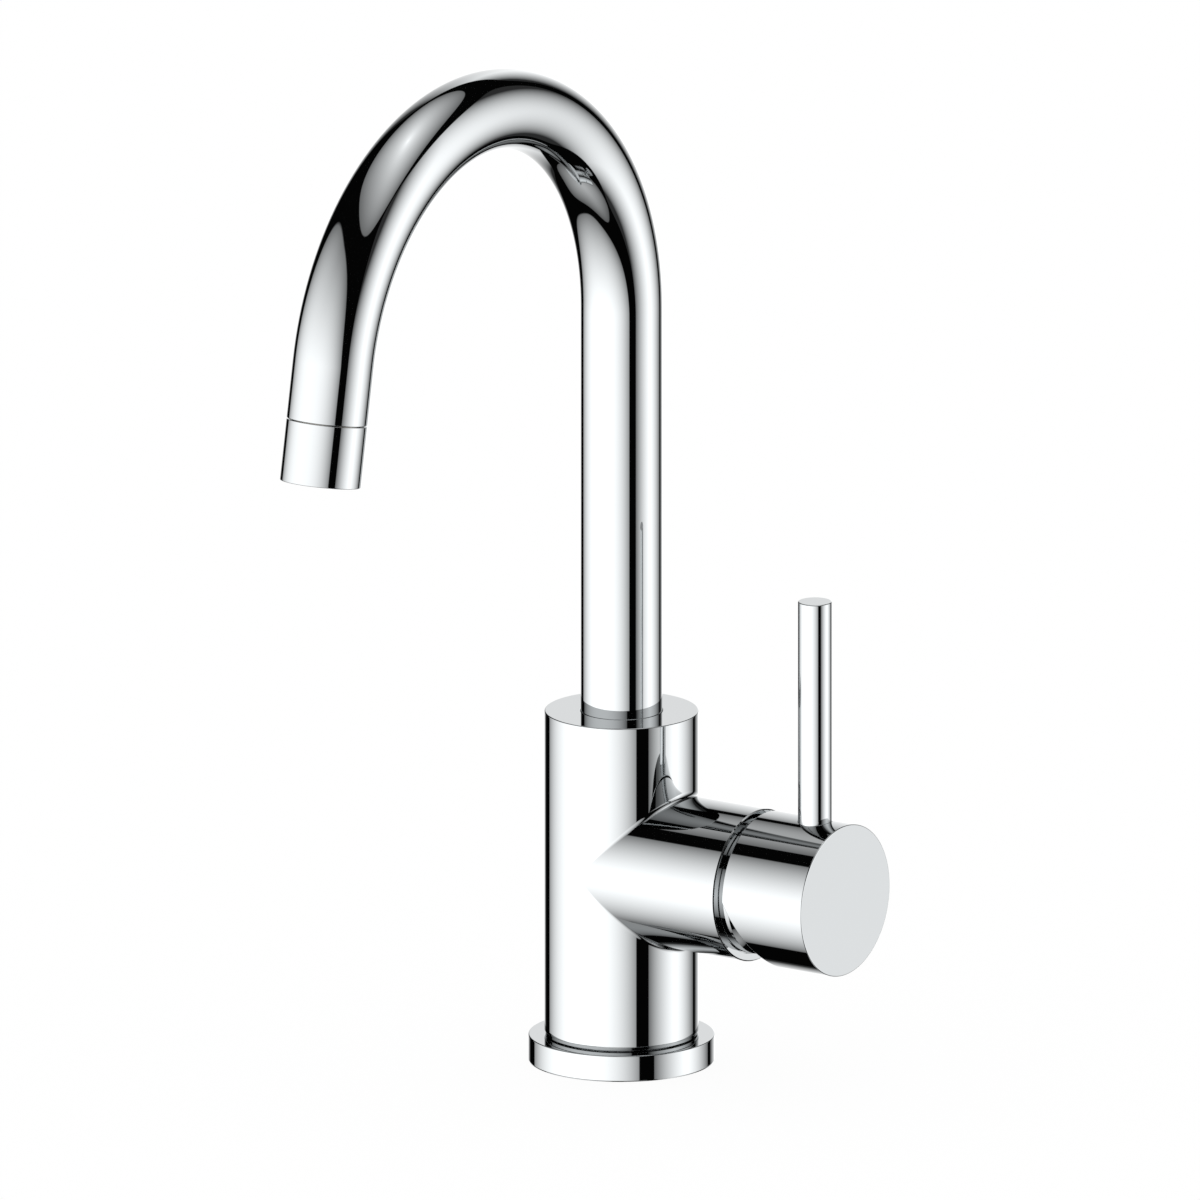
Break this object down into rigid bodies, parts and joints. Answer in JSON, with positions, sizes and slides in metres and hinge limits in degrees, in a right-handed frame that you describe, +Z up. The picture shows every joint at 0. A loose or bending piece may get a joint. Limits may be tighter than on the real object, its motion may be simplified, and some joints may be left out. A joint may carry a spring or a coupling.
{
  "type": "gooseneck bar faucet",
  "caption": "Chrome gooseneck bar faucet with a swivel spout, a side branch and a single lever on a tilting, turning handle cap over a ceramic disc cartridge.",
  "frame": {"origin": "centre of the base's underside, on the deck", "axes": "+Z up out of the deck, -Y towards the user and the spout's reach, +X along the branch to the handle"},
  "size_m": [0.1144, 0.2035, 0.3328],
  "materials": {
    "chrome": "polished",
    "brass": "satin",
    "rubber": "matte",
    "acetal": "satin",
    "aerator_plastic": "satin",
    "ceramic": "polished",
    "steel": "satin",
    "plug_plastic": "satin"
  },
  "bodies": {
    "body": {"base_flange": "chrome", "base_gasket": "rubber", "faucet_body": "chrome", "keeper_screw": "steel", "cartridge_base": "acetal", "inlet_seals": "rubber", "outlet_seal": "rubber", "fixed_disc": "ceramic", "cartridge_shell": "acetal", "cartridge_nut": "brass", "trim_collar": "chrome"},
    "spout": {"spout_stem": "brass", "lower_slip_ring": "acetal", "upper_slip_ring": "acetal", "spout_o_rings": "rubber", "spout_tube": "chrome", "tip_adapter": "brass", "aerator_washer": "rubber", "aerator_screen": "steel", "aerator_core": "aerator_plastic", "aerator_shell": "chrome"},
    "turret": {"turret": "acetal", "tilt_pin": "steel"},
    "slider": {"disc_carrier": "acetal", "moving_disc": "ceramic"},
    "handle": {"control_stem": "brass", "handle_cap": "chrome", "grub_screw": "steel", "screw_plug": "plug_plastic", "lever_rod": "chrome"}
  },
  "joints": [
    {"name": "spout_swivel", "type": "hinge", "parent": "body", "child": "spout", "pos_m": [0, 0, 0.1], "axis": [0, 0, 1], "continuous": true},
    {"name": "temperature_turn", "type": "hinge", "parent": "body", "child": "turret", "pos_m": [0.04, 0, 0.0636], "axis": [1, 0, 0], "range_deg": [-45, 45]},
    {"name": "flow_tilt", "type": "hinge", "parent": "turret", "child": "handle", "pos_m": [0.04, 0, 0.0636], "axis": [0, 1, 0], "range_deg": [0, 25]},
    {"name": "disc_slide", "type": "slide", "parent": "turret", "child": "slider", "axis": [0, 0, 1], "range_m": [0, 0.0029]}
  ],
  "couplings": [
    {"joint": "disc_slide", "follows": "flow_tilt", "m_per_rad": 0.0065}
  ]
}
